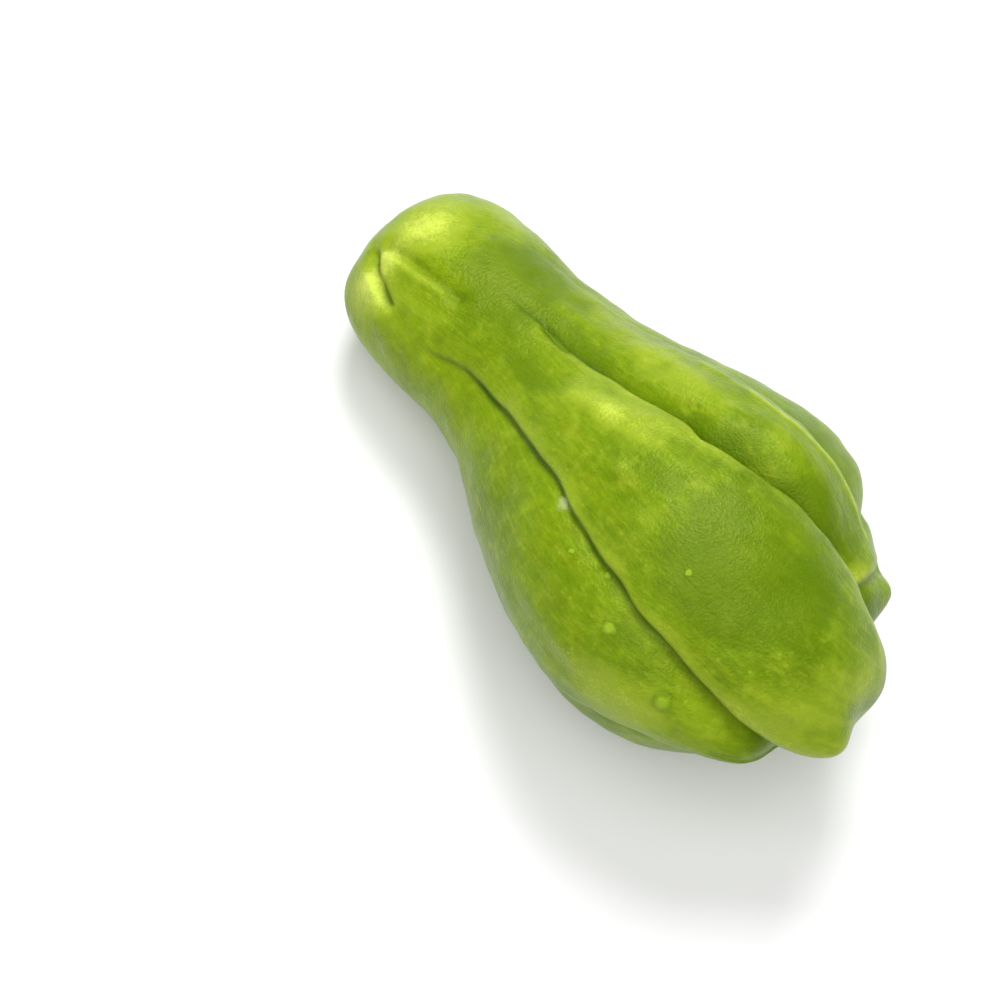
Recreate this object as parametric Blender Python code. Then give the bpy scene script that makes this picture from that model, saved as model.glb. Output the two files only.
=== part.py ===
"""A chayote squash lying on its side: one solid fruit.

The stem end is at -X and the blossom end at +X. The body is round, lower than it is wide, with a
slim neck that swells into a belly. Five furrows run along it, from the small scar of the stem to
the puckered mouth of the blossom end, and divide it into five puffed lobes. It rests on its neck
and on the two belly lobes beside the furrow underneath.

Angles round the fruit are degrees from straight up, towards +Y. Places along it are shares of its
length, from the stem end.
"""
import bmesh
import bpy
import numpy as np

NAME = "chayote"
MM = 0.001

# Driving dimensions
LENGTH = 162 * MM
HEIGHT_PER_WIDTH = 0.88
LIFT = np.radians(9.9)              # the blossom end is raised by this, from the rest on the neck
PRESSED_FLAT = 0.6 * MM             # what is lost at each of the lowest points
CREASE_WIDTH = 1.5 * MM
CREASE_ROUNDING = 0.3 * MM          # of the crease's bottom
CREASE_SPREAD = 2                   # how much wider the crease is on its deeper side
CORE_FROM_STEM = 20 * MM            # the skin swells away from a line inside, between these two
CORE_FROM_BLOSSOM = 42 * MM
COLUMNS_PER_LOBE = 18
COLUMN_CLOSENESS = 0.08             # 0 is even, more is closer columns at the furrows
ROWS = 46

# Half of the width, along the length
WIDTH_AT = (0, .026, .075, .15, .27, .36, .45, .56, .665, .75, .84, .93, 1)
HALF_WIDTH = (0, 16.5, 22.2, 23.8, 24.2, 27.4, 33.5, 40.0, 42.8, 40.6, 32.8, 21.0, 0)

# How far the middle of the fruit strays to +Y, along the length
STRAY_AT = (0, .15, .3, .45, .6, .75, .85, .93, 1)
STRAY = (0, .6, 1.4, 0, -.2, -.8, -2.2, -4.0, -6.0)

# The scar of the stem and the mouth lie off the tips: (turned off the tip by, towards the angle),
# and how fast that fades along the fruit
SCAR_TURN = (33, -33)
SCAR_FADE = 4
MOUTH_TURN = (38, 128)
MOUTH_FADE = 3.5
MOUTH_DEPTH = 8 * MM
MOUTH_RADIUS = 8 * MM
SKIN_PER_RADIAN = 45 * MM           # length of skin for each radian from the mouth
POLE_ANGLE = 0.1                    # the lobes fade out within about this angle of both poles

# The furrows, at these places along the fruit: where each runs round it, how deep its broad
# valley is, how deep the narrow crease at its bottom is, and how much the lobe after it swells.
# The valley is deeper on the side after the furrow by the share "lean", and as much less deep
# on the side before it, so that one lobe stands over the other
FURROW_AT = (0, .05, .12, .27, .45, .57, .67, .76, .83, .90, 1)
FURROWS = {
    "front": dict(
        lean=-.35,
        angle=(-62, -56, -41, -32, -26, -30, -34, -42, -49.5, -56, -62),
        valley=(0, .1, .5, 1.2, 1.5, 1.8, 2, 2.3, 2.6, 3, 3),
        crease=(0, 0, .4, 1.2, 1.5, 1.6, 1.8, 2.2, 2.4, 2, 1),
        swell=(0, 0, 0, 0, 0, 0, 0, 1, 2, 3, 3)),
    "upper": dict(
        lean=.3,
        angle=(60, 42, 26, 17, 19, 22, 24.5, 29, 31, 28, 21),
        valley=(0, 0, 0, .7, 2.6, 3.6, 4.2, 4.6, 4, 3, 2),
        crease=(0, 0, 0, .9, 2.0, 2.4, 2.8, 3.0, 2.8, 2.4, 1),
        swell=(0, 0, 0, 0, 0, 0, 0, -2, -3.5, -2, 0)),
    "ridge": dict(
        lean=.6,
        angle=(100, 80, 66, 61, 57, 55, 54, 56, 59, 68, 80),
        valley=(0, 0, 0, .3, 1.6, 2.8, 4, 5, 5.5, 5, 4),
        crease=(0, 0, 0, .2, .9, 1.8, 2.6, 3, 3, 2.4, 1),
        swell=(0, 0, 0, 0, .5, 1.3, 2, 2.8, 3.8, 1, -6)),
    "under": dict(
        lean=0,
        angle=(170, 172, 175, 178, 181, 182, 180, 176, 173, 170, 168),
        valley=(0, 0, .2, .8, 2, 3, 4, 5.5, 6, 6, 5),
        crease=(0, 0, .2, .6, 1.2, 1.6, 1.8, 2, 2, 2, 1),
        swell=(0, 0, 0, 0, 0, 0, 0, 0, -2, -3, -2)),
    "back": dict(
        lean=0,
        angle=(240, 242, 245, 250, 256, 266, 273, 278, 280, 275, 268),
        valley=(0, 0, .2, 1, 2, 2.5, 3.5, 5, 7, 7, 5),
        crease=(0, 0, .2, .6, 1.2, 1.6, 1.8, 2, 2, 2, 1),
        swell=(0, 0, 0, 0, 0, 0, 0, .5, -.5, -7, -7)),
}
LOBE_ROUNDNESS = 2.3                # 2 is a parabola across the lobe, more is a fuller one
STEP_WIDTH = 0.8 * MM               # from one side's depth to the other's

# Small folds of the neck: points (place along, angle), depth and half width
FOLDS = {
    "stem scar": (((.056, -30), (.076, -35), (.100, -37), (.125, -41)), 1.8 * MM, 1.6 * MM),
    "neck fold": (((.062, -17), (.089, -14), (.126, -12), (.173, -10), (.200, -9)),
                  1.0 * MM, 2.0 * MM),
}

# Knobs and dents of the lobes' ends: place along, angle, radius and height
KNOBS = (
    (.995, 6, 7 * MM, 5.0 * MM),
    (.995, 60, 11 * MM, -5.5 * MM),
    (.940, 75, 7 * MM, 0.8 * MM),
    (.866, 98, 4.5 * MM, 2.5 * MM),
)


def smooth(stations, values, at):
    """A curve through the values at the stations, smooth in its slope: cubic pieces whose slope at
    a station is the mean of its neighbours' slopes, weighted by how near they are."""
    stations = np.asarray(stations, float)
    values = np.asarray(values, float)
    step = np.diff(stations)
    chord = np.diff(values) / step
    slope = np.empty_like(values)
    slope[1:-1] = (chord[:-1] * step[1:] + chord[1:] * step[:-1]) / (step[:-1] + step[1:])
    slope[0] = chord[0]
    slope[-1] = chord[-1]
    k = np.clip(np.searchsorted(stations, at, side="right") - 1, 0, len(step) - 1)
    t = np.clip((at - stations[k]) / step[k], 0, 1)
    start = (1 + 2 * t) * (1 - t)**2 * values[k] + t * (1 - t)**2 * step[k] * slope[k]
    end = t * t * (3 - 2 * t) * values[k + 1] + t * t * (t - 1) * step[k] * slope[k + 1]
    return start + end


def half_width(along):
    """Half of the body's width; its square is the smooth curve, so that both tips are round."""
    squared = smooth(WIDTH_AT, np.square(np.array(HALF_WIDTH) * MM), along)
    return np.sqrt(np.maximum(squared, 0))


def stray(along):
    """How far the body's middle line is off to +Y."""
    return smooth(STRAY_AT, np.array(STRAY) * MM, along)


def body_point(along, across, up):
    """The point of the furrowless body at a share of its length, in the direction (across, up)."""
    radius = half_width(along)
    return np.stack([along * LENGTH,
                     stray(along) + radius * across,
                     radius * up * HEIGHT_PER_WIDTH], axis=-1)


def place_on_body(along, bearing):
    """The point of the furrowless body at a share of its length and an angle in degrees."""
    bearing = np.radians(bearing)
    return body_point(along, np.sin(bearing), np.cos(bearing))


def turned(points, off_tip, towards, end):
    """The points on a unit sphere, each turned by its own share of off_tip, so that the pole at
    that end of the X axis moves towards the given angle."""
    axis = end * np.array([0, -np.cos(towards), np.sin(towards)])
    cos = np.cos(off_tip)[:, None]
    sin = np.sin(off_tip)[:, None]
    sideways = np.cross(axis, points)
    along_axis = (points @ axis)[:, None] * axis
    return points * cos + sideways * sin + along_axis * (1 - cos)


def distance_to_path(points, path):
    """The shortest distance from each point to a line of straight pieces."""
    nearest = np.full(len(points), np.inf)
    for start, end in zip(path[:-1], path[1:]):
        piece = end - start
        share = np.clip((points - start) @ piece / (piece @ piece), 0, 1)
        off = points - start - share[:, None] * piece
        nearest = np.minimum(nearest, np.linalg.norm(off, axis=1))
    return nearest


def furrow_values(kind, station):
    """One column for each furrow, with that value of it at each station along the fruit."""
    return np.stack([smooth(FURROW_AT, furrow[kind], station) for furrow in FURROWS.values()], 1)


def bell(distance, radius):
    """1 at no distance, falling off as a bell curve of that radius."""
    return np.exp(-(distance / radius)**2)


def across_lobes(longitude):
    """The number of the lobe that each longitude is in, and how far across it that is, from 0 at
    one furrow to 1 at the next."""
    slices = longitude / (2 * np.pi) * len(FURROWS)
    lobe = np.floor(slices + 1e-6).astype(int)
    even = np.clip(slices - lobe, 0, 1)
    return lobe % len(FURROWS), even - COLUMN_CLOSENESS * np.sin(2 * np.pi * even)


def on_body(colatitude, round_it):
    """The points of the furrowless body, their places along it, how far they are from the poles'
    axis for each unit of half width, and the directions in which the skin swells."""
    station = (1 - np.cos(colatitude)) / 2
    sphere = np.stack([-np.cos(colatitude),
                       np.sin(colatitude) * np.sin(round_it),
                       np.sin(colatitude) * np.cos(round_it)], axis=-1)
    to_scar = np.radians(SCAR_TURN[0]) * (1 - station)**SCAR_FADE
    to_mouth = np.radians(MOUTH_TURN[0]) * station**MOUTH_FADE
    sphere = turned(sphere, to_scar, np.radians(SCAR_TURN[1]), -1)
    sphere = turned(sphere, to_mouth, np.radians(MOUTH_TURN[1]), 1)

    along = (1 + sphere[:, 0]) / 2
    off_axis = np.hypot(sphere[:, 1], sphere[:, 2]) + 1e-12
    body = body_point(along, sphere[:, 1] / off_axis, sphere[:, 2] / off_axis)
    core = np.clip(body[:, 0], CORE_FROM_STEM, LENGTH - CORE_FROM_BLOSSOM)
    outward = body - np.stack([core, stray(along), 0 * core], axis=-1)
    outward /= np.linalg.norm(outward, axis=1)[:, None]
    return body, along, np.minimum(1, np.sin(colatitude) / off_axis), outward


def furrow_rise(lobe, across_lobe, station, pole_share, lobe_width):
    """How far the skin rises: by the swell of the lobe's arch, less the valley on both sides of
    the arch, and less the crease, which falls off from the furrow as an exponential."""
    rows = np.arange(len(lobe))
    near_first = across_lobe < .5
    beside = np.where(near_first, lobe, (lobe + 1) % len(FURROWS))
    to_furrow = np.where(near_first, across_lobe, 1 - across_lobe) * lobe_width
    lean = np.array([furrow["lean"] for furrow in FURROWS.values()])[beside]
    lean = lean * np.where(near_first, 1, -1) * np.tanh(to_furrow / STEP_WIDTH)

    arch = (1 - np.abs(2 * across_lobe - 1)**LOBE_ROUNDNESS) * pole_share
    valley = furrow_values("valley", station)[rows, beside] * MM
    crease = furrow_values("crease", station)[rows, beside] * MM
    swell = furrow_values("swell", station)[rows, lobe] * MM
    rise = swell * arch - valley * (1 - arch) * (1 + lean)
    reach = CREASE_WIDTH * np.exp(CREASE_SPREAD * lean)
    return rise - crease * np.exp(-np.hypot(to_furrow, CREASE_ROUNDING) / reach)


def local_rise(body, to_mouth):
    """How far the skin rises at the knobs, less the mouth's pit and the small folds."""
    rise = -MOUTH_DEPTH * bell(to_mouth, MOUTH_RADIUS)
    for path, depth, half in FOLDS.values():
        place, bearing = np.array(path).T
        rise -= depth * bell(distance_to_path(body, place_on_body(place, bearing)), half)
    for place, bearing, radius, height in KNOBS:
        away = np.linalg.norm(body - place_on_body(place, bearing), axis=1)
        rise += height * bell(away, radius)
    return rise


def skin(colatitude, longitude):
    """The fruit's skin, from a unit sphere's colatitude (0 at the scar) and longitude.

    The sphere's five equal slices are the lobes, and their edges the furrows. A point goes to the
    angle between its two furrows, its pole is turned to the scar or to the mouth, and it is set on
    the furrowless body. Then it moves in or out by what the furrows, the mouth, the folds and the
    knobs do there."""
    lobe, across_lobe = across_lobes(longitude)
    following = (lobe + 1) % len(FURROWS)
    rows = np.arange(len(lobe))
    station = (1 - np.cos(colatitude)) / 2
    angle = furrow_values("angle", station)
    first = np.radians(angle[rows, lobe])
    last = np.radians(angle[rows, following] + 360 * (following < lobe))

    body, along, ring, outward = on_body(colatitude, first + (last - first) * across_lobe)
    pole_share = 1 - bell(np.sin(colatitude), POLE_ANGLE)
    lobe_width = (last - first) * half_width(along) * ring
    rise = furrow_rise(lobe, across_lobe, station, pole_share, lobe_width)
    rise += local_rise(body, 2 * np.cos(colatitude / 2) * SKIN_PER_RADIAN)
    return body + outward * rise[:, None]


def laid_down(points):
    """The fruit with its blossom end lifted, pressed flat where it is lowest, and moved so that
    the origin is under the middle of its box."""
    cos = np.cos(LIFT)
    sin = np.sin(LIFT)
    x, y, z = points.T
    lifted = np.stack([x * cos - z * sin, y, x * sin + z * cos], axis=-1)
    lifted[:, 2] = np.maximum(lifted[:, 2], lifted[:, 2].min() + PRESSED_FLAT)
    low = lifted.min(axis=0)
    high = lifted.max(axis=0)
    return lifted - [(low[0] + high[0]) / 2, (low[1] + high[1]) / 2, low[2]]


def skin_material():
    """Waxy yellow-green skin."""
    material = bpy.data.materials.new("chayote skin")
    material.use_nodes = True
    shader = material.node_tree.nodes["Principled BSDF"]
    shader.inputs["Base Color"].default_value = (0.20, 0.30, 0.02, 1)
    shader.inputs["Roughness"].default_value = 0.38
    shader.inputs["Metallic"].default_value = 0
    return material


def make_fruit(collection):
    """A sphere of rows and columns whose points are moved onto the skin."""
    mesh = bpy.data.meshes.new(NAME)
    sphere = bmesh.new()
    bmesh.ops.create_uvsphere(
        sphere, u_segments=COLUMNS_PER_LOBE * len(FURROWS), v_segments=ROWS, radius=1)
    sphere.to_mesh(mesh)
    sphere.free()
    points = np.empty(len(mesh.vertices) * 3)
    mesh.vertices.foreach_get("co", points)
    x, y, z = points.reshape(-1, 3).T
    colatitude = np.arccos(np.clip(z, -1, 1))
    longitude = np.arctan2(y, x) % (2 * np.pi)
    mesh.vertices.foreach_set("co", laid_down(skin(colatitude, longitude)).ravel())
    mesh.update()
    mesh.shade_smooth()
    mesh.materials.append(skin_material())
    fruit = bpy.data.objects.new(NAME, mesh)
    collection.objects.link(fruit)


def main():
    for old in list(bpy.data.objects):
        bpy.data.objects.remove(old, do_unlink=True)
    collection = bpy.data.collections.new("chayote squash")
    bpy.context.scene.collection.children.link(collection)
    make_fruit(collection)


main()
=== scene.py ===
"""The looks of a chayote squash: its finely shaped skin, a plain floor, soft studio light and a
camera that looks down on it.

The skin follows the same formula as the solid fruit and adds what is finer: wandering furrows, low
swellings, crests, bumps and dents along the lobes, warts and finer folds. Its colours follow the
same places, with painted highlights on the rims and crests, patches of the skin's own mottling
mixed with painted highlights and painted shade, painted light and shade beside the furrows and
painted shade in the furrow bottoms. Angles round the fruit are degrees from straight up, towards
+Y. Places along it are shares of its length, from the stem end.
"""

import bpy
import numpy as np
from mathutils import Matrix, Vector


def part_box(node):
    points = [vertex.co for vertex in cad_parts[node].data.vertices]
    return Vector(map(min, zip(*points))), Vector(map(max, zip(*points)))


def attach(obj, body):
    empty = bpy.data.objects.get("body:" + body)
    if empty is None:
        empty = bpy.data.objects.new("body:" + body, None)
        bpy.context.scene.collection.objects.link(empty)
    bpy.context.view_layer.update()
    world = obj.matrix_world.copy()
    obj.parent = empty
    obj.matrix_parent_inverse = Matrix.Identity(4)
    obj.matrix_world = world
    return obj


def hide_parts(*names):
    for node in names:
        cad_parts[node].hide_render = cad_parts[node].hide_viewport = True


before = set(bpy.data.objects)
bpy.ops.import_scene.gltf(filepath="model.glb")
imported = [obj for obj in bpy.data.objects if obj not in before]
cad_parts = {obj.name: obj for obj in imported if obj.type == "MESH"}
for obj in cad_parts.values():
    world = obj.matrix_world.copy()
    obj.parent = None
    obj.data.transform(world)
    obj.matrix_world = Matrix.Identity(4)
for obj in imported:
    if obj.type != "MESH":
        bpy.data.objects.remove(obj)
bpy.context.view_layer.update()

MM = 0.001

# ---------------------------------------------------------------- the shape of the fruit

# Driving dimensions
LENGTH = 162 * MM
HEIGHT_PER_WIDTH = 0.88
LIFT = np.radians(9.9)              # the blossom end is raised by this, from the rest on the neck
PRESSED_FLAT = 0.6 * MM             # what is lost at each of the lowest points
CREASE_WIDTH = 1.5 * MM
CREASE_ROUNDING = 0.3 * MM          # of the crease's bottom
CREASE_SPREAD = 2                   # how much wider the crease is on its deeper side
CORE_FROM_STEM = 20 * MM            # the skin swells away from a line inside, between these two
CORE_FROM_BLOSSOM = 42 * MM
COLUMNS_PER_LOBE = 66
COLUMN_CLOSENESS = 0.08             # 0 is even, more is closer columns at the furrows
ROWS = 270
EDGE_SLACK = 1e-6                   # puts a column on a furrow in the lobe after the furrow
NEXT_TO_NOTHING = 1e-12             # added to what may be 0, before it divides

# Half of the width, along the length
WIDTH_AT = (0, .026, .075, .15, .27, .36, .45, .56, .665, .75, .84, .93, 1)
HALF_WIDTH = (0, 16.5, 22.2, 23.8, 24.2, 27.4, 33.5, 40.0, 42.8, 40.6, 32.8, 21.0, 0)

# How far the middle of the fruit strays to +Y, along the length
STRAY_AT = (0, .15, .3, .45, .6, .75, .85, .93, 1)
STRAY = (0, .6, 1.4, 0, -.2, -.8, -2.2, -4.0, -6.0)

# The scar of the stem and the mouth lie off the tips: (turned off the tip by, towards the angle),
# and how fast that fades along the fruit
SCAR_TURN = (33, -33)
SCAR_FADE = 4
MOUTH_TURN = (38, 128)
MOUTH_FADE = 3.5
MOUTH_DEPTH = 8 * MM
MOUTH_RADIUS = 8 * MM
SKIN_PER_RADIAN = 45 * MM           # length of skin for each radian from the mouth
POLE_ANGLE = 0.1                    # the lobes fade out within about this angle of both poles

# The furrows, at these places along the fruit: where each runs round it, how deep its broad
# valley is, how deep the narrow crease at its bottom is, and how much the lobe after it swells.
# The valley is deeper on the side after the furrow by the share "lean", and as much less deep
# on the side before it, so that one lobe stands over the other
FURROW_AT = (0, .05, .12, .27, .45, .57, .67, .76, .83, .90, 1)
FURROWS = {
    "front": dict(
        lean=-.35,
        angle=(-62, -56, -41, -32, -26, -30, -34, -42, -49.5, -56, -62),
        valley=(0, .1, .5, 1.2, 1.5, 1.8, 2, 2.3, 2.6, 3, 3),
        crease=(0, 0, .4, 1.2, 1.5, 1.6, 1.8, 2.2, 2.4, 2, 1),
        swell=(0, 0, 0, 0, 0, 0, 0, 1, 2, 3, 3)),
    "upper": dict(
        lean=.3,
        angle=(60, 42, 26, 17, 19, 22, 24.5, 29, 31, 28, 21),
        valley=(0, 0, 0, .7, 2.6, 3.6, 4.2, 4.6, 4, 3, 2),
        crease=(0, 0, 0, .9, 2.0, 2.4, 2.8, 3.0, 2.8, 2.4, 1),
        swell=(0, 0, 0, 0, 0, 0, 0, -2, -3.5, -2, 0)),
    "ridge": dict(
        lean=.6,
        angle=(100, 80, 66, 61, 57, 55, 54, 56, 59, 68, 80),
        valley=(0, 0, 0, .3, 1.6, 2.8, 4, 5, 5.5, 5, 4),
        crease=(0, 0, 0, .2, .9, 1.8, 2.6, 3, 3, 2.4, 1),
        swell=(0, 0, 0, 0, .5, 1.3, 2, 2.8, 3.8, 1, -6)),
    "under": dict(
        lean=0,
        angle=(170, 172, 175, 178, 181, 182, 180, 176, 173, 170, 168),
        valley=(0, 0, .2, .8, 2, 3, 4, 5.5, 6, 6, 5),
        crease=(0, 0, .2, .6, 1.2, 1.6, 1.8, 2, 2, 2, 1),
        swell=(0, 0, 0, 0, 0, 0, 0, 0, -2, -3, -2)),
    "back": dict(
        lean=0,
        angle=(240, 242, 245, 250, 256, 266, 273, 278, 280, 275, 268),
        valley=(0, 0, .2, 1, 2, 2.5, 3.5, 5, 7, 7, 5),
        crease=(0, 0, .2, .6, 1.2, 1.6, 1.8, 2, 2, 2, 1),
        swell=(0, 0, 0, 0, 0, 0, 0, .5, -.5, -7, -7)),
}
LOBE_ROUNDNESS = 2.3                # 2 is a parabola across the lobe, more is a fuller one
STEP_WIDTH = 0.8 * MM               # from one side's depth to the other's

# Small folds of the neck: points (place along, angle), depth and half width
FOLDS = {
    "stem scar": (((.056, -30), (.076, -35), (.100, -37), (.125, -41)), 1.8 * MM, 1.6 * MM),
    "neck fold": (((.062, -17), (.089, -14), (.126, -12), (.173, -10), (.200, -9)),
                  1.0 * MM, 2.0 * MM),
}

# Knobs and dents of the lobes' ends: place along, angle, radius and height
KNOBS = (
    (.995, 6, 7 * MM, 5.0 * MM),
    (.995, 60, 11 * MM, -5.5 * MM),
    (.940, 75, 7 * MM, 0.8 * MM),
    (.866, 98, 4.5 * MM, 2.5 * MM),
)

# From here on: what the solid fruit leaves out. The furrows wander from side to side in waves: how
# many along the fruit, phase, shift of the phase from furrow to furrow, and share
WANDER = 0.6                        # degrees
WANDER_WAVES = ((7, 0, 1.7, 0.6), (13, 1, 3.91, 0.4))

# Kinks of the furrows: furrow, station along the fruit, reach and degrees
KINKS = (("upper", .582, .022, -2.6), ("front", .655, .02, -0.8))

# Low random swellings of the skin: height, wavelength and seed
SWELLINGS = (
    (0.32 * MM, 24 * MM, 3),
    (0.24 * MM, 10 * MM, 4),
    (0.07 * MM, 5 * MM, 5),
)
SWELLING_WAVES = 14                 # sine waves in each swelling
SWELLING_SPREAD = (0.7, 1.5)        # their shortest and longest, for a wavelength of 1
SWELLING_GAIN = 2.4                 # brings their mean to about -1 to 1

# Raised lines along the lobes, each with a painted highlight along it: points (place along,
# angle), height and half width
CRESTS = (
    (((.070, -22), (.105, -19), (.148, -15), (.175, -13)), 0.60 * MM, 1.3 * MM),
    (((.075, -40), (.100, -42), (.130, -44)), 0.50 * MM, 1.2 * MM),
    (((.50, 47), (.64, 48), (.67, 51), (.71, 56), (.764, 65), (.812, 73)), 0.35 * MM, 1.1 * MM),
    (((.834, 90), (.848, 79), (.860, 69), (.870, 59)), 0.25 * MM, 1.7 * MM),
    (((.893, 53), (.911, 60), (.927, 63), (.946, 66), (.964, 72)), 0.15 * MM, 1.8 * MM),
    (((.44, 1), (.50, 6), (.56, 13), (.61, 18), (.67, 20)), 0.55 * MM, 2.8 * MM),
    (((.40, -12), (.50, -8), (.60, -6), (.70, 0)), 0.25 * MM, 2.6 * MM),
    (((.43, -2), (.49, 2), (.53, 4), (.575, 7), (.61, 8)), 0.30 * MM, 2.2 * MM),
    (((.34, 42), (.42, 40), (.50, 36), (.58, 34)), 0.40 * MM, 2.6 * MM),
    (((.30, 30), (.38, 33), (.46, 33)), 0.30 * MM, 2.2 * MM),
    (((.13, 22), (.22, 22), (.32, 26)), 0.25 * MM, 2.6 * MM),
    (((.16, -30), (.26, -22), (.36, -17)), 0.20 * MM, 2.4 * MM),
    (((.55, 110), (.66, 112), (.76, 108)), 0.35 * MM, 3.0 * MM),
    (((.45, 215), (.58, 222), (.70, 228)), 0.35 * MM, 3.0 * MM),
    (((.50, 300), (.60, 303), (.70, 300)), 0.30 * MM, 3.0 * MM),
)
# The painted highlight along a crest, for each unit of its height
CREST_HIGHLIGHT_PER_HEIGHT = 1.2 / MM

# Painted highlights along the rims of the lobes: points (place along, angle), tone and half width
RIM_HIGHLIGHTS = (
    (((.58, 48), (.64, 48), (.67, 51), (.71, 56), (.735, 60), (.764, 65), (.786, 71), (.812, 73)),
     1.2, 0.8 * MM),
    (((.834, 90), (.848, 79), (.860, 69), (.870, 59)), 0.6, 1.4 * MM),
    (((.880, 46), (.893, 53), (.911, 60), (.927, 63), (.946, 66), (.964, 72)), 0.5, 1.8 * MM),
)

# Finer folds of the skin: points (place along, angle), depth and half width
FINE_FOLDS = {
    "start of the upper furrow": (((.318, 12), (.345, 11.5), (.365, 12.5)), 1.0 * MM, 1.0 * MM),
    "end of the ridge": (((.844, 92), (.858, 80), (.870, 70), (.880, 61)), 1.2 * MM, 1.9 * MM),
    "beside the scar": (((.038, -24), (.050, -28), (.058, -31)), 0.5 * MM, 1.4 * MM),
    "bottom of the neck fold": (((.080, -15), (.126, -12), (.173, -10), (.200, -9)),
                                0.3 * MM, 0.8 * MM),
}

# How dark the painted shade at the bottom of each fold is
FOLD_PAINTED_SHADES = {
    "stem scar": 0.8,
    "neck fold": 0.2,
    "start of the upper furrow": 0.9,
    "end of the ridge": 0.3,
    "beside the scar": 0.2,
    "bottom of the neck fold": 0.5,
}

# Bumps of the skin: place along, angle, radius and height
BUMPS = (
    (.565, -9, 2.4 * MM, 0.35 * MM),
    (.654, -5, 2.2 * MM, 0.30 * MM),
    (.646, 9, 2.8 * MM, 0.35 * MM),
    (.47, 3, 2.6 * MM, 0.30 * MM),
    (.535, 9, 2.2 * MM, 0.30 * MM),
    (.585, 17, 2.4 * MM, 0.30 * MM),
    (.38, 50, 2.6 * MM, 0.35 * MM),
    (.455, 46, 2.2 * MM, 0.35 * MM),
    (.53, 38, 2.6 * MM, 0.30 * MM),
    (.88, 10, 4.0 * MM, 0.35 * MM),
    (.50, 8, 1.6 * MM, 0.25 * MM),
    (.515, 3, 1.4 * MM, 0.20 * MM),
    (.545, 16, 1.6 * MM, 0.25 * MM),
    (.49, 14, 1.5 * MM, 0.20 * MM),
    (.42, 34, 1.6 * MM, 0.25 * MM),
    (.44, 26, 1.5 * MM, 0.20 * MM),
    (.47, 36, 1.8 * MM, 0.25 * MM),
    (.80, -13, 4.5 * MM, -0.45 * MM),
    (.40, 2, 4.0 * MM, -0.25 * MM),
    (.66, 30, 4.0 * MM, -0.30 * MM),
    (.70, 4, 6.0 * MM, -0.30 * MM),
    (.60, 250, 5.0 * MM, -0.40 * MM),
    (.62, 130, 5.0 * MM, -0.35 * MM),
)

# Warts, paler than the skin: place along, angle, radius and height
WARTS = (
    (.819, -51, 1.7 * MM, 0.50 * MM),
    (.714, -43, 1.4 * MM, 0.30 * MM),
    (.659, -32, 0.7 * MM, 0.25 * MM),
    (.741, -11, 0.7 * MM, 0.30 * MM),
    (.600, -36, 0.6 * MM, 0.20 * MM),
    (.690, -58, 0.6 * MM, 0.20 * MM),
    (.60, 95, 1.3 * MM, 0.40 * MM),
    (.72, 140, 1.1 * MM, 0.35 * MM),
    (.52, 215, 1.2 * MM, 0.40 * MM),
    (.66, 245, 0.9 * MM, 0.30 * MM),
)
CORK_SPOTS = ((.546, -29, 1.7 * MM),)       # old bruises: place along, angle, radius

# How dark the painted shade at the bottom of each furrow is, at FURROW_AT, and how far that
# reaches
SHADE_REACH = 1.15 * MM
FURROW_PAINTED_SHADES = {
    "front": (0, 0, .5, 1, .9, .8, .8, .5, .3, .2, 0),
    "upper": (0, 0, 0, .8, .8, .8, .9, .9, .9, .8, .5),
    "ridge": (0, 0, 0, .1, .2, .2, .2, .2, .2, .2, .1),
    "under": (0, 0, .1, .4, .7, .8, .8, .8, .8, .8, .4),
    "back": (0, 0, .1, .4, .7, .8, .8, .8, .8, .8, .4),
}

# The skin beside each furrow, paler (above 0) or darker: (tone, reach) before it and after it.
# This is painted light and shade, with some of the rims' own paler skin: the lit flank after the
# front furrow and the lit rims before the upper furrow and the ridge are paler, and the shaded
# flanks after them are darker
TONE_START = 0.6 * MM               # the tone is full up to here, and then fades
TONE_FULL_CREASE = 1.5              # in mm; beside a shallower crease the tone is weaker
FURROW_SIDE_TONES_AND_LIGHT = {
    "front": ((0.0, 3.0 * MM), (0.9, 3.4 * MM)),
    "upper": ((0.9, 2.0 * MM), (-1.1, 4.5 * MM)),
    "ridge": ((3.4, 0.8 * MM), (-1.6, 5.0 * MM)),
    "under": ((0.3, 3.0 * MM), (0.3, 3.0 * MM)),
    "back": ((0.3, 3.0 * MM), (0.3, 3.0 * MM)),
}
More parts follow.
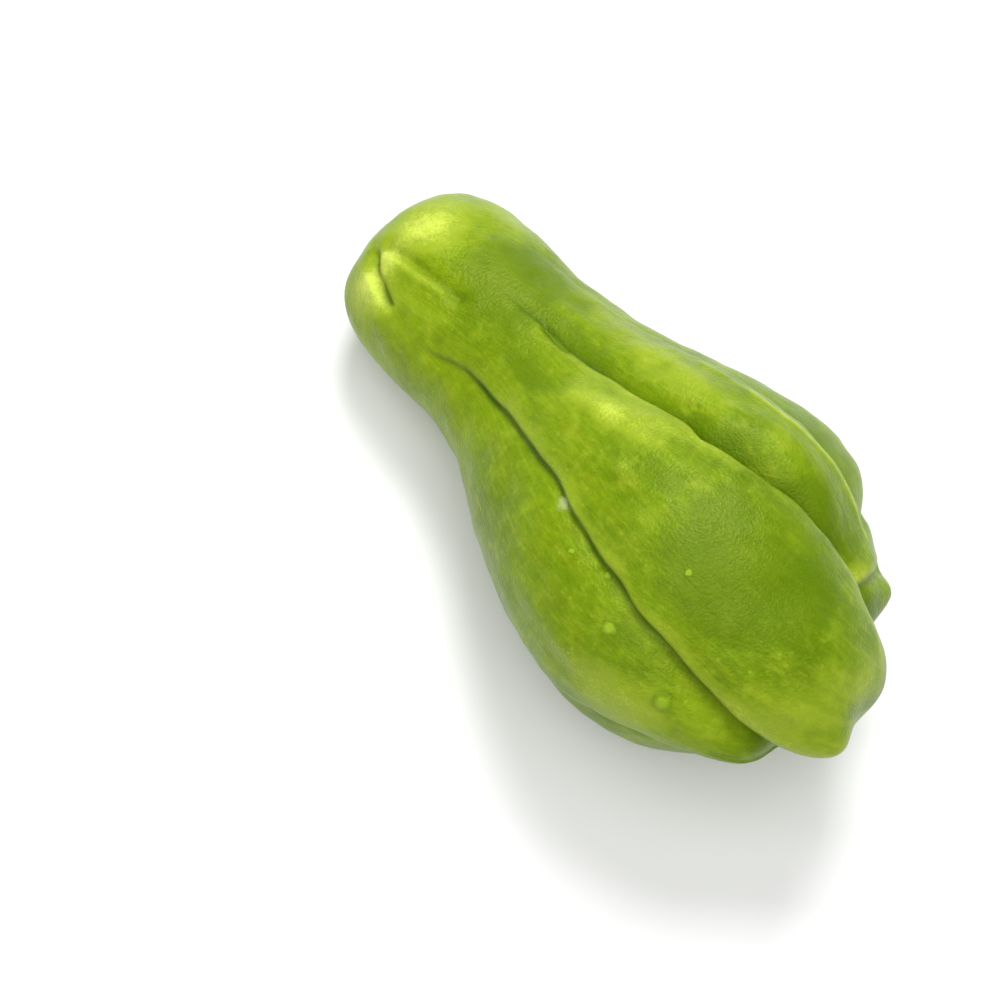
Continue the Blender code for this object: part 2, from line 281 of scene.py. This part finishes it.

# Broad patches of the skin, paler (above 0) or darker: place along, angle, radius and tone. Some
# are the skin's own mottling; many are painted highlights, as on the top of the neck and on the
# crests, and painted shade
PATCHES_AND_PAINTED_LIGHT = (
    (.178, 19, 9 * MM, -1.1),
    (.23, 34, 8 * MM, -0.8),
    (.096, 9, 6.5 * MM, 1.4),
    (.070, -3, 5 * MM, 1.2),
    (.075, -44, 4 * MM, 1.6),
    (.110, -46, 3 * MM, 1.0),
    (.900, 80, 4 * MM, -1.2),
    (.856, 60, 3.5 * MM, 1.3),
    (.12, 60, 10 * MM, 0.8),
    (.30, 62, 10 * MM, 0.2),
    (.42, 60, 10 * MM, 0.3),
    (.51, 80, 10 * MM, 0.3),
    (.53, 6, 7 * MM, 0.5),
    (.72, 0, 12 * MM, -1.2),
    (.75, 35, 10 * MM, -0.8),
    (.66, 75, 9 * MM, -0.8),
    (.80, -8, 5 * MM, -0.5),
    (.95, 5, 11 * MM, 0.7),
    (.92, -30, 7 * MM, 0.5),
    (.85, 52, 5 * MM, 0.9),
    (.78, -30, 6 * MM, 0.3),
    (.40, -12, 8 * MM, 0.3),
    (.55, -65, 12 * MM, -0.2),
    (.83, -55, 10 * MM, 0.3),
    (.27, 5, 8 * MM, -1.0),
    (.33, -13, 6 * MM, -0.8),
    (.475, 29, 8 * MM, 0.9),
    (.53, 27, 6 * MM, 0.6),
    (.83, 8, 10 * MM, -0.8),
    (.78, -63, 10 * MM, 0.9),
    (.67, 31, 5 * MM, 0.5),
    (.085, -29, 4 * MM, 1.4),
    (.08, -55, 7 * MM, 0.8),
    (.072, 22, 7 * MM, 0.9),
    (.645, -6, 5 * MM, 0.7),
    (.605, 3, 5 * MM, -0.7),
    (.752, -16, 6 * MM, -0.8),
    (.86, 18, 7 * MM, -0.5),
    (.25, 40, 8 * MM, -0.6),
    (.365, -9, 5 * MM, -0.8),
    (.87, -58, 5 * MM, 0.3),
    (.955, -62, 6 * MM, -0.9),
    (.076, -20, 4 * MM, 0.8),
    (.318, 35, 6 * MM, -0.8),
    (.463, 27, 4 * MM, 0.6),
    (.489, 3, 4.5 * MM, 0.8),
    (.535, -8, 4 * MM, -0.6),
    (.633, -3, 4 * MM, -0.9),
    (.702, 36, 6 * MM, 0.6),
    (.753, 53, 6 * MM, -0.5),
    (.837, 31, 5 * MM, -0.7),
    (.735, -43, 6 * MM, -0.5),
    (.809, -14, 6 * MM, -0.8),
    (.726, -65, 7 * MM, 0.5),
    (.830, -45, 4 * MM, -0.5),
    (.131, -36, 4 * MM, 0.6),
    (.398, -10, 4 * MM, -0.8),
    (.479, -9, 4 * MM, -0.6),
    (.589, 5, 3.5 * MM, 0.6),
    (.658, -18, 4.5 * MM, 0.7),
    (.657, -7, 3.5 * MM, 0.6),
    (.235, 9, 6 * MM, -0.6),
    (.471, 33, 4 * MM, -0.7),
    (.957, 47, 4 * MM, 1.0),
    (.857, 67, 3 * MM, 1.0),
    (.790, -10, 4 * MM, -0.4),
    (.734, -40, 4 * MM, -0.4),
)

STREAK_LENGTH = 0.9                 # of the fruit on the streaks' pattern, whose ring has radius 1


def smooth(stations, values, at):
    """A curve through the values at the stations, smooth in its slope: cubic pieces whose slope at
    a station is the mean of its neighbours' slopes, weighted by how near they are."""
    stations = np.asarray(stations, float)
    values = np.asarray(values, float)
    step = np.diff(stations)
    chord = np.diff(values) / step
    slope = np.empty_like(values)
    slope[1:-1] = (chord[:-1] * step[1:] + chord[1:] * step[:-1]) / (step[:-1] + step[1:])
    slope[0] = chord[0]
    slope[-1] = chord[-1]
    k = np.clip(np.searchsorted(stations, at, side="right") - 1, 0, len(step) - 1)
    t = np.clip((at - stations[k]) / step[k], 0, 1)
    start = (1 + 2 * t) * (1 - t)**2 * values[k] + t * (1 - t)**2 * step[k] * slope[k]
    end = t * t * (3 - 2 * t) * values[k + 1] + t * t * (t - 1) * step[k] * slope[k + 1]
    return start + end


def half_width(along):
    """Half of the body's width; its square is the smooth curve, so that both tips are round."""
    squared = smooth(WIDTH_AT, np.square(np.array(HALF_WIDTH) * MM), along)
    return np.sqrt(np.maximum(squared, 0))


def stray(along):
    """How far the body's middle line is off to +Y."""
    return smooth(STRAY_AT, np.array(STRAY) * MM, along)


def body_point(along, across, up):
    """The point of the furrowless body at a share of its length, in the direction (across, up)."""
    radius = half_width(along)
    return np.stack([along * LENGTH,
                     stray(along) + radius * across,
                     radius * up * HEIGHT_PER_WIDTH], axis=-1)


def place_on_body(along, bearing):
    """The point of the furrowless body at a share of its length and an angle in degrees."""
    bearing = np.radians(bearing)
    return body_point(along, np.sin(bearing), np.cos(bearing))


def turned(points, off_tip, towards, end):
    """The points on a unit sphere, each turned by its own share of off_tip, so that the pole at
    that end of the X axis moves towards the given angle."""
    axis = end * np.array([0, -np.cos(towards), np.sin(towards)])
    cos = np.cos(off_tip)[:, None]
    sin = np.sin(off_tip)[:, None]
    sideways = np.cross(axis, points)
    along_axis = (points @ axis)[:, None] * axis
    return points * cos + sideways * sin + along_axis * (1 - cos)


def distance_to_path(points, path):
    """The shortest distance from each point to a line of straight pieces."""
    nearest = np.full(len(points), np.inf)
    for start, end in zip(path[:-1], path[1:]):
        piece = end - start
        share = np.clip((points - start) @ piece / (piece @ piece), 0, 1)
        off = points - start - share[:, None] * piece
        nearest = np.minimum(nearest, np.linalg.norm(off, axis=1))
    return nearest


def bell(distance, radius):
    """1 at no distance, falling off as a bell curve of that radius."""
    return np.exp(-(distance / radius)**2)


def line_bell(body, path, half):
    """A bell of the distance to a line of (place along, angle) points on the skin."""
    place, bearing = np.array(path).T
    return bell(distance_to_path(body, place_on_body(place, bearing)), half)


def spots(body, places):
    """The sum of bells round some places of the skin, each as high as its last value."""
    total = np.zeros(len(body))
    for place, bearing, radius, height in places:
        away = np.linalg.norm(body - place_on_body(place, bearing), axis=1)
        total += height * bell(away, radius)
    return total


def furrow_curves(tables, station):
    """One column for each furrow, with the value of its table at each station along the fruit."""
    return np.stack([smooth(FURROW_AT, values, station) for values in tables], axis=1)


def furrow_values(kind, station):
    """One column for each furrow, with that value of it at each station along the fruit."""
    return furrow_curves([furrow[kind] for furrow in FURROWS.values()], station)


def of_each(table, column):
    """From each row of the table, the value in the column that is given for it."""
    return table[np.arange(len(column)), column]


def across_lobes(longitude):
    """The number of the lobe that each longitude is in, and how far across it that is, from 0 at
    one furrow to 1 at the next."""
    slices = longitude / (2 * np.pi) * len(FURROWS)
    lobe = np.floor(slices + EDGE_SLACK).astype(int)
    even = np.clip(slices - lobe, 0, 1)
    return lobe % len(FURROWS), even - COLUMN_CLOSENESS * np.sin(2 * np.pi * even)


def on_body(colatitude, round_it):
    """The points of the furrowless body, their places along it, how far they are from the poles'
    axis for each unit of half width, and the directions in which the skin swells."""
    station = (1 - np.cos(colatitude)) / 2
    sphere = np.stack([-np.cos(colatitude),
                       np.sin(colatitude) * np.sin(round_it),
                       np.sin(colatitude) * np.cos(round_it)], axis=-1)
    to_scar = np.radians(SCAR_TURN[0]) * (1 - station)**SCAR_FADE
    to_mouth = np.radians(MOUTH_TURN[0]) * station**MOUTH_FADE
    sphere = turned(sphere, to_scar, np.radians(SCAR_TURN[1]), -1)
    sphere = turned(sphere, to_mouth, np.radians(MOUTH_TURN[1]), 1)

    along = (1 + sphere[:, 0]) / 2
    off_axis = np.hypot(sphere[:, 1], sphere[:, 2]) + NEXT_TO_NOTHING
    body = body_point(along, sphere[:, 1] / off_axis, sphere[:, 2] / off_axis)
    core = np.clip(body[:, 0], CORE_FROM_STEM, LENGTH - CORE_FROM_BLOSSOM)
    outward = body - np.stack([core, stray(along), 0 * core], axis=-1)
    outward /= np.linalg.norm(outward, axis=1)[:, None]
    return body, along, np.minimum(1, np.sin(colatitude) / off_axis), outward


def nearer_furrow(lobe, across_lobe, lobe_width):
    """Whether the furrow before its lobe is the nearer one to each point, the number of the
    nearer furrow, and how far it is."""
    near_first = across_lobe < .5
    beside = np.where(near_first, lobe, (lobe + 1) % len(FURROWS))
    return near_first, beside, np.where(near_first, across_lobe, 1 - across_lobe) * lobe_width


def furrow_rise(lobe, across_lobe, station, pole_share, lobe_width):
    """How far the skin rises: by the swell of the lobe's arch, less the valley on both sides of
    the arch, and less the crease, which falls off from the furrow as an exponential."""
    near_first, beside, to_furrow = nearer_furrow(lobe, across_lobe, lobe_width)
    lean = np.array([furrow["lean"] for furrow in FURROWS.values()])[beside]
    lean = lean * np.where(near_first, 1, -1) * np.tanh(to_furrow / STEP_WIDTH)

    arch = (1 - np.abs(2 * across_lobe - 1)**LOBE_ROUNDNESS) * pole_share
    valley = of_each(furrow_values("valley", station), beside) * MM
    crease = of_each(furrow_values("crease", station), beside) * MM
    swell = of_each(furrow_values("swell", station), lobe) * MM
    rise = swell * arch - valley * (1 - arch) * (1 + lean)
    reach = CREASE_WIDTH * np.exp(CREASE_SPREAD * lean)
    return rise - crease * np.exp(-np.hypot(to_furrow, CREASE_ROUNDING) / reach)


def local_rise(body, to_mouth):
    """How far the skin rises at the knobs, less the mouth's pit and the small folds."""
    rise = spots(body, KNOBS) - MOUTH_DEPTH * bell(to_mouth, MOUTH_RADIUS)
    for path, depth, half in FOLDS.values():
        rise -= depth * line_bell(body, path, half)
    return rise


def wander(station):
    """How far each furrow strays from its smooth line, in degrees: the sum of sine waves along
    the fruit, shifted from one furrow to the next and none at the two ends, and the kinks."""
    number = np.arange(len(FURROWS))
    stray_by = np.zeros((len(station), len(FURROWS)))
    for waves, phase, shift, share in WANDER_WAVES:
        stray_by += share * np.sin(2 * np.pi * waves * station[:, None] + phase + shift * number)
    stray_by *= WANDER * np.sin(np.pi * station)[:, None]
    for name, at, reach, degrees in KINKS:
        stray_by[:, list(FURROWS).index(name)] += degrees * bell(station - at, reach)
    return stray_by


def swelling(points, wavelength, seed):
    """Low random swellings between about -1 and 1: the mean of sine waves that run through space
    in random directions, with wavelengths near the one given."""
    draw = np.random.default_rng(seed)
    directions = draw.normal(size=(SWELLING_WAVES, 3))
    directions /= np.linalg.norm(directions, axis=1)[:, None]
    lengths = wavelength * draw.uniform(*SWELLING_SPREAD, SWELLING_WAVES)
    phases = draw.uniform(0, 2 * np.pi, SWELLING_WAVES)
    waves = np.sin(points @ (directions / lengths[:, None]).T * 2 * np.pi + phases)
    return waves.mean(axis=1) * SWELLING_GAIN


def fine_rise(body, pole_share):
    """How far the skin rises by what the solid fruit leaves out: the sum of the random swellings,
    the crests, the bumps and the warts, less the finer folds."""
    rise = np.zeros(len(body))
    for height, wavelength, seed in SWELLINGS:
        rise += height * swelling(body, wavelength, seed) * pole_share
    for path, height, half in CRESTS:
        rise += height * line_bell(body, path, half)
    for path, depth, half in FINE_FOLDS.values():
        rise -= depth * line_bell(body, path, half)
    return rise + spots(body, BUMPS) + spots(body, WARTS)


def patch_and_highlight_tone(body):
    """How much paler or darker the skin is than elsewhere: its own patches, with painted
    highlights and painted shade among them, and the painted highlights on the rims and crests.
    """
    tone = spots(body, PATCHES_AND_PAINTED_LIGHT)
    for path, paler, half in RIM_HIGHLIGHTS:
        tone += paler * line_bell(body, path, half)
    for path, height, half in CRESTS:
        tone += CREST_HIGHLIGHT_PER_HEIGHT * height * line_bell(body, path, half)
    return tone


def furrow_shade_and_side_light(lobe, across_lobe, station, lobe_width):
    """How dark the painted shade at the bottom of the crease is, and how much paler or darker the
    painted light and shade beside the furrow make the skin, each fading away from the furrow."""
    near_first, beside, to_furrow = nearer_furrow(lobe, across_lobe, lobe_width)
    shade = np.clip(of_each(furrow_curves(FURROW_PAINTED_SHADES.values(), station), beside), 0, 1)
    tone, reach = np.array(list(FURROW_SIDE_TONES_AND_LIGHT.values()))[beside, near_first.astype(int)].T
    crease = of_each(furrow_values("crease", station), beside)
    fade = bell(np.maximum(to_furrow - TONE_START, 0), reach)
    return (shade * bell(to_furrow, SHADE_REACH),
            tone * np.clip(crease / TONE_FULL_CREASE, 0, 1) * fade)


def skin(colatitude, longitude):
    """The furrowless body, the fruit's skin and what its colours follow, by name, from a unit
    sphere's colatitude (0 at the scar) and longitude.

    The sphere's five equal slices are the lobes, and their edges the furrows. A point goes to the
    angle between its two furrows, its pole is turned to the scar or to the mouth, and it is set on
    the furrowless body. Then it moves in or out by what the furrows, the mouth, the folds, the
    knobs and the finer forms do there."""
    lobe, across_lobe = across_lobes(longitude)
    following = (lobe + 1) % len(FURROWS)
    station = (1 - np.cos(colatitude)) / 2
    angle = furrow_values("angle", station) + wander(station)
    first = np.radians(of_each(angle, lobe))
    last = np.radians(of_each(angle, following) + 360 * (following < lobe))
    round_it = first + (last - first) * across_lobe

    body, along, ring, outward = on_body(colatitude, round_it)
    pole_share = 1 - bell(np.sin(colatitude), POLE_ANGLE)
    lobe_width = (last - first) * half_width(along) * ring
    rise = furrow_rise(lobe, across_lobe, station, pole_share, lobe_width)
    rise += local_rise(body, 2 * np.cos(colatitude / 2) * SKIN_PER_RADIAN)
    rise += fine_rise(body, pole_share)

    # Painted shade at the bottoms of the furrows and folds, and painted light and shade beside the
    # furrows
    crease, tone = furrow_shade_and_side_light(lobe, across_lobe, station, lobe_width)
    for name, (path, _, half) in (FOLDS | FINE_FOLDS).items():
        crease = np.maximum(crease, FOLD_PAINTED_SHADES[name] * line_bell(body, path, half / 2))
    follows = {
        "along": along,
        "crease": crease,
        "tone": tone,
        "patch_and_painted_light": patch_and_highlight_tone(body),
        "meridian": np.stack([np.sin(round_it), np.cos(round_it), along * STREAK_LENGTH], axis=-1),
    }
    return body, body + outward * rise[:, None], follows


def laid_down(points, box):
    """The fruit with its blossom end lifted, pressed flat where it is lowest, and moved so that
    it lies in the middle of the given box and on its floor."""
    cos = np.cos(LIFT)
    sin = np.sin(LIFT)
    x, y, z = points.T
    lifted = np.stack([x * cos - z * sin, y, x * sin + z * cos], axis=-1)
    lifted[:, 2] = np.maximum(lifted[:, 2], lifted[:, 2].min() + PRESSED_FLAT)
    lifted += (np.array(box[0]) + np.array(box[1]) - lifted.min(axis=0) - lifted.max(axis=0)) / 2
    lifted[:, 2] += box[0][2] - lifted[:, 2].min()
    return lifted


def closed_grid(rows, columns):
    """Colatitudes and longitudes of a closed sphere of rows and columns, with one point at each
    pole, and its faces: quads between the rows and triangles at the poles."""
    colatitude, longitude = np.meshgrid(np.pi * np.arange(1, rows) / rows,
                                        2 * np.pi * np.arange(columns) / columns, indexing="ij")
    point = np.arange((rows - 1) * columns).reshape(rows - 1, columns)
    beside = np.roll(point, -1, axis=1)
    quads = np.stack([point[:-1], point[1:], beside[1:], beside[:-1]], axis=-1).reshape(-1, 4)
    first_fan = np.stack([np.full(columns, point.size), point[0], beside[0]], axis=-1)
    last_fan = np.stack([np.full(columns, point.size + 1), beside[-1], point[-1]], axis=-1)
    return (np.append(colatitude, [0, np.pi]), np.append(longitude, [0, 0]),
            quads.tolist() + first_fan.tolist() + last_fan.tolist())


def make_skin(box):
    """The skin as one closed mesh, with what its colours follow kept at its points, and where the
    middles of the warts and of the cork spots come to lie."""
    colatitude, longitude, faces = closed_grid(ROWS, COLUMNS_PER_LOBE * len(FURROWS))
    body, points, follows = skin(colatitude, longitude)
    points = laid_down(points, box)
    mesh = bpy.data.meshes.new("chayote_skin")
    mesh.from_pydata(points.tolist(), [], faces)
    mesh.shade_smooth()
    for name, values in follows.items():
        kind = "FLOAT" if values.ndim == 1 else "FLOAT_VECTOR"
        attribute = mesh.attributes.new(name, kind, "POINT")
        attribute.data.foreach_set("value" if values.ndim == 1 else "vector", values.ravel())
    piece = bpy.data.objects.new("chayote_skin", mesh)
    bpy.context.scene.collection.objects.link(piece)

    middles = [place_on_body(place, bearing) for place, bearing, *_ in (*WARTS, *CORK_SPOTS)]
    nearest = [np.argmin(np.linalg.norm(body - middle, axis=1)) for middle in middles]
    return piece, points[nearest]


# ---------------------------------------------------------------- the skin's colours and gloss

# Base colours: red, green and blue, as the shader counts them
# Pale green: the skin's own pale mottling, and also the painted light of lit patches
PALE_AND_LIT_GREEN = (0.310, 0.410, 0.020)
# The painted highlight's green
HIGHLIGHT_GREEN = (0.585, 0.690, 0.090)
WART_GREEN = (0.300, 0.440, 0.020)
LIME_GREEN = (0.205, 0.310, 0.002)
MID_GREEN = (0.145, 0.245, 0.001)
# Deep green: the skin's own dark mottling, and also painted shade on shaded patches and flanks and
# round the warts
DEEP_AND_SHADED_GREEN = (0.080, 0.155, 0.000)
OLIVE = (0.215, 0.260, 0.004)
# The painted shade in the creases and at the bottoms of the folds
CREASE_SHADE_GREEN = (0.052, 0.115, 0.001)
CORK = (0.42, 0.46, 0.20)

# Patterns of the skin: the place or meridian that it follows, features in a metre or in a ring's
# radius, detail and roughness
PATTERNS = {
    "clouds": ("place", 45, 3.0, 0.5),
    "mottle": ("place", 160, 4.0, 0.6),
    "speckle": ("place", 520, 3.0, 0.65),
    "grain": ("place", 1900, 2.0, 0.6),
    "streak": ("meridian", 11, 5.0, 0.65),
    "fibre": ("meridian", 42, 3.0, 0.6),
}

# Layers of colour over the ground: the pattern's value where it starts and where it is full, how
# much it covers, and its green
LAYERS = (
    ("clouds", 0.42, 0.66, 0.55, DEEP_AND_SHADED_GREEN),
    ("clouds", 0.52, 0.30, 0.50, LIME_GREEN),
    ("streak", 0.50, 0.70, 0.45, OLIVE),
    ("mottle", 0.52, 0.72, 0.35, PALE_AND_LIT_GREEN),
    ("mottle", 0.48, 0.30, 0.35, DEEP_AND_SHADED_GREEN),
    ("speckle", 0.52, 0.70, 0.25, PALE_AND_LIT_GREEN),
    ("speckle", 0.48, 0.32, 0.25, DEEP_AND_SHADED_GREEN),
    ("fibre", 0.50, 0.72, 0.28, PALE_AND_LIT_GREEN),
    ("fibre", 0.50, 0.30, 0.28, DEEP_AND_SHADED_GREEN),
    ("dots", 0.13, 0.06, 0.40, PALE_AND_LIT_GREEN),
)
DOTS_PER_METRE = 230.0
PORES_PER_METRE = 1500.0
WART_EDGE = 2.0 * MM                # how ragged the edges are
CORK_EDGE = 5.0 * MM

# How much of the relief each pattern makes
RELIEF = {"grain": 0.9, "speckle": 0.4, "mottle": 0.8, "streak": 0.6, "fibre": 0.5, "pores": 0.6}
RELIEF_HEIGHT = 0.16 * MM


class Value:
    """A socket of a shader node that takes part in sums: an operator on it adds its Math node."""

    def __init__(self, shader, socket):
        self.shader = shader
        self.socket = socket

    def math(self, operation, first, second):
        return self.shader.node("ShaderNodeMath", {"operation": operation}, {0: first, 1: second})

    def __add__(self, other):
        return self.math("ADD", self, other)

    def __sub__(self, other):
        return self.math("SUBTRACT", self, other)

    def __rsub__(self, other):
        return self.math("SUBTRACT", other, self)

    def __mul__(self, other):
        return self.math("MULTIPLY", self, other)

    __radd__ = __add__
    __rmul__ = __mul__


class Shader:
    """A material's nodes, made one at a time."""

    def __init__(self, name):
        self.material = bpy.data.materials.new(name)
        self.material.use_nodes = True
        self.tree = self.material.node_tree
        self.surface = self.tree.nodes["Principled BSDF"]

    def set(self, node, inputs):
        """Sets or links a node's sockets."""
        for key, value in inputs.items():
            if isinstance(value, Value):
                self.tree.links.new(value.socket, node.inputs[key])
            else:
                node.inputs[key].default_value = value

    def node(self, kind, settings, inputs, output=0):
        """Adds a node with its settings and the values or links of its sockets."""
        node = self.tree.nodes.new(kind)
        for name, value in settings.items():
            setattr(node, name, value)
        self.set(node, inputs)
        return Value(self, node.outputs[output])

    def mix(self, share, first, second):
        """The first colour turned into the second by a share between 0 and 1."""
        colours = {key: value if isinstance(value, Value) else (*value, 1)
                   for key, value in ((6, first), (7, second))}
        return self.node("ShaderNodeMix", {"data_type": "RGBA"}, {0: share, **colours}, output=2)

    def noise(self, where, scale, detail=2.0, roughness=0.5):
        """Cloudy noise, about 0.3 to 0.7, with features of about 1 / scale."""
        return self.node("ShaderNodeTexNoise", {}, {
            "Vector": where, "Scale": scale, "Detail": detail, "Roughness": roughness})

    def cells(self, where, scale):
        """How far a place is from the middle of its cell, of about 1 / scale, in cells."""
        return self.node("ShaderNodeTexVoronoi", {"feature": "F1"},
                         {"Vector": where, "Scale": scale})

    def between(self, value, low, high):
        """0 below low, 1 above high, and a smooth step between."""
        return self.node("ShaderNodeMapRange", {"interpolation_type": "SMOOTHSTEP"},
                         {"Value": value, "From Min": low, "From Max": high})

    def away(self, where, point):
        """How far a place is from a point."""
        return self.node("ShaderNodeVectorMath", {"operation": "DISTANCE"},
                         {0: where, 1: tuple(point)}, output=1)

    def follow(self, name):
        """A number kept at the mesh's points."""
        return self.node("ShaderNodeAttribute", {"attribute_name": name}, {}, output=2)

    def follow_vector(self, name):
        """A vector kept at the mesh's points."""
        return self.node("ShaderNodeAttribute", {"attribute_name": name}, {}, output=1)


def skin_material(middles):
    """Waxy yellow-green skin: paler on the neck, mottled and faintly streaked along the fruit,
    painted shade in the creases and folds, pale at warts with a painted shadow ring round each,
    painted highlights on the rims, the crests and the top of the neck, corky at old bruises,
    finely pored. The middles are those of the warts and of the cork spots, in this order."""
    s = Shader("chayote_skin")
    along = s.follow("along")
    where = {
        "place": s.node("ShaderNodeTexCoord", {}, {}, output=3),
        "meridian": s.follow_vector("meridian"),
    }
    place = where["place"]
    pattern = {name: s.noise(where[on], scale, detail, roughness)
               for name, (on, scale, detail, roughness) in PATTERNS.items()}
    pattern["dots"] = s.cells(place, DOTS_PER_METRE)
    pattern["pores"] = s.cells(place, PORES_PER_METRE)
    speckle = pattern["speckle"] - 0.5
    grain = pattern["grain"] - 0.5

    colour = s.mix(s.between(along, 0.10, 0.62), LIME_GREEN, MID_GREEN)
    for name, low, high, share, green in LAYERS:
        colour = s.mix(s.between(pattern[name], low, high) * share, colour, green)

    # The skin's own patches and mottling, mixed with painted highlights and painted shade: paler,
    # then the painted highlight where it is highest, then darker
    tone = s.follow("patch_and_painted_light") + s.follow("tone")
    tone = tone + pattern["mottle"] * 0.9 + pattern["streak"] * 0.6 - 0.75
    # Fine noise that breaks the painted highlight into sparkles
    highlight_sparkle = speckle * 1.5 + grain * 1.8
    colour = s.mix(s.between(tone, 0.0, 1.0) * 0.70, colour, PALE_AND_LIT_GREEN)
    colour = s.mix(s.between(tone + highlight_sparkle, 0.8, 2.9), colour, HIGHLIGHT_GREEN)
    colour = s.mix(s.between(tone, 0.0, -1.0) * 0.65, colour, DEEP_AND_SHADED_GREEN)

    # Painted shade in the creases and at the bottoms of the folds, uneven along them
    crease = s.follow("crease") * (s.noise(place, 130, detail=3.0) * 1.6 + 0.1)
    colour = s.mix(crease, colour, CREASE_SHADE_GREEN)

    # Each wart: a painted shadow ring round it, then its own paler disc
    for (_, _, radius, _), middle in zip(WARTS, middles):
        away = s.away(place, middle) + speckle * WART_EDGE
        colour = s.mix(s.between(away, 1.9 * radius, 1.1 * radius) * 0.40, colour, DEEP_AND_SHADED_GREEN)
        colour = s.mix(s.between(away, 1.3 * radius, 0.4 * radius) * 0.80, colour, WART_GREEN)
    for (_, _, radius), middle in zip(CORK_SPOTS, middles[len(WARTS):]):
        away = s.away(place, middle) + speckle * CORK_EDGE
        colour = s.mix(s.between(away, 1.3 * radius, 0.3 * radius) * 0.75, colour, CORK)

    height = sum(pattern[name] * share for name, share in RELIEF.items())
    relief = s.node("ShaderNodeBump", {}, {
        "Strength": 1.0, "Distance": RELIEF_HEIGHT, "Height": height})
    rough = 0.27 + s.noise(place, 260, detail=2.0) * 0.16
    s.set(s.surface, {
        "Base Color": colour, "Roughness": rough, "Normal": relief,
        "Specular IOR Level": 0.28, "Specular Tint": (0.96, 1.0, 0.36, 1),
        "Subsurface Weight": 0.3, "Subsurface Scale": 2.0 * MM,
        "Subsurface Radius": (1.0, 1.2, 0.2)})
    return s.material


# ---------------------------------------------------------------- the studio

VIEW_AZIMUTH = 50.5
VIEW_ELEVATION = 77.0
AIM = Vector((-0.01145, -0.02487, 0.0331))
VIEW_DISTANCE = 0.6194
LENS = 100                          # mm

# Square lights that face the fruit: the direction as right, up and back of the view, the
# distance, the side and the power
SOFTBOXES = {
    "key": ((0.10, 0.75, 0.75), 1.1, 0.35, 9),
    "top": ((0.0, 0.10, 1.0), 1.3, 1.0, 9),
    "fill": ((-0.6, -0.6, 0.9), 1.3, 0.9, 2),
}
ROOM_LIGHT = 0.40
FLOOR_HALF = 6.0                    # of its side
FLOOR_WHITE = (0.86, 0.86, 0.86, 1)


def view_axes():
    """The camera's directions right, up and back, in the frame."""
    azimuth = np.radians(VIEW_AZIMUTH)
    elevation = np.radians(VIEW_ELEVATION)
    right = Vector((np.cos(azimuth), np.sin(azimuth), 0))
    back = Vector((np.sin(azimuth) * np.cos(elevation),
                   -np.cos(azimuth) * np.cos(elevation),
                   np.sin(elevation)))
    return right, back.cross(right), back


def make_camera():
    """A long lens that looks down on the fruit from nearly overhead."""
    right, up, back = view_axes()
    data = bpy.data.cameras.new("camera")
    data.lens = LENS
    camera = bpy.data.objects.new("camera", data)
    turn = Matrix((right, up, back)).transposed().to_4x4()
    camera.matrix_world = Matrix.Translation(AIM + back * VIEW_DISTANCE) @ turn
    bpy.context.scene.collection.objects.link(camera)
    bpy.context.scene.camera = camera


def make_softbox(name, direction, distance, side, power):
    """A square light that faces the fruit from a direction given as right, up and back of the
    view."""
    right, up, back = view_axes()
    towards = (right * direction[0] + up * direction[1] + back * direction[2]).normalized()
    data = bpy.data.lights.new(name, "AREA")
    data.shape = "SQUARE"
    data.size = side
    data.energy = power
    light = bpy.data.objects.new(name, data)
    light.location = towards * distance
    light.rotation_euler = towards.to_track_quat("Z", "Y").to_euler()
    bpy.context.scene.collection.objects.link(light)


def make_floor():
    """A plain white surface under the fruit."""
    mesh = bpy.data.meshes.new("floor")
    signs = ((-1, -1), (1, -1), (1, 1), (-1, 1))
    corners = [(x * FLOOR_HALF, y * FLOOR_HALF, 0) for x, y in signs]
    mesh.from_pydata(corners, [], [(0, 1, 2, 3)])
    paint = Shader("floor_white")
    paint.set(paint.surface, {
        "Base Color": FLOOR_WHITE, "Roughness": 0.6, "Specular IOR Level": 0.2})
    mesh.materials.append(paint.material)
    floor = bpy.data.objects.new("floor", mesh)
    bpy.context.scene.collection.objects.link(floor)


def make_light():
    """A soft key from the top of the view, a broad light overhead, a weak fill from below and a
    dim white room."""
    for name, (direction, distance, side, power) in SOFTBOXES.items():
        make_softbox(name, direction, distance, side, power)
    world = bpy.data.worlds.new("room")
    world.use_nodes = True
    room = world.node_tree.nodes["Background"]
    room.inputs["Color"].default_value = (1, 1, 1, 1)
    room.inputs["Strength"].default_value = ROOM_LIGHT
    bpy.context.scene.world = world


def make_fruit():
    """The finely shaped skin, in the place of the solid fruit."""
    piece, middles = make_skin(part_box("chayote"))
    piece.data.materials.append(skin_material(middles))
    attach(piece, "root")
    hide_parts("chayote")


bpy.context.scene.view_settings.view_transform = "Standard"
make_fruit()
make_floor()
make_light()
make_camera()
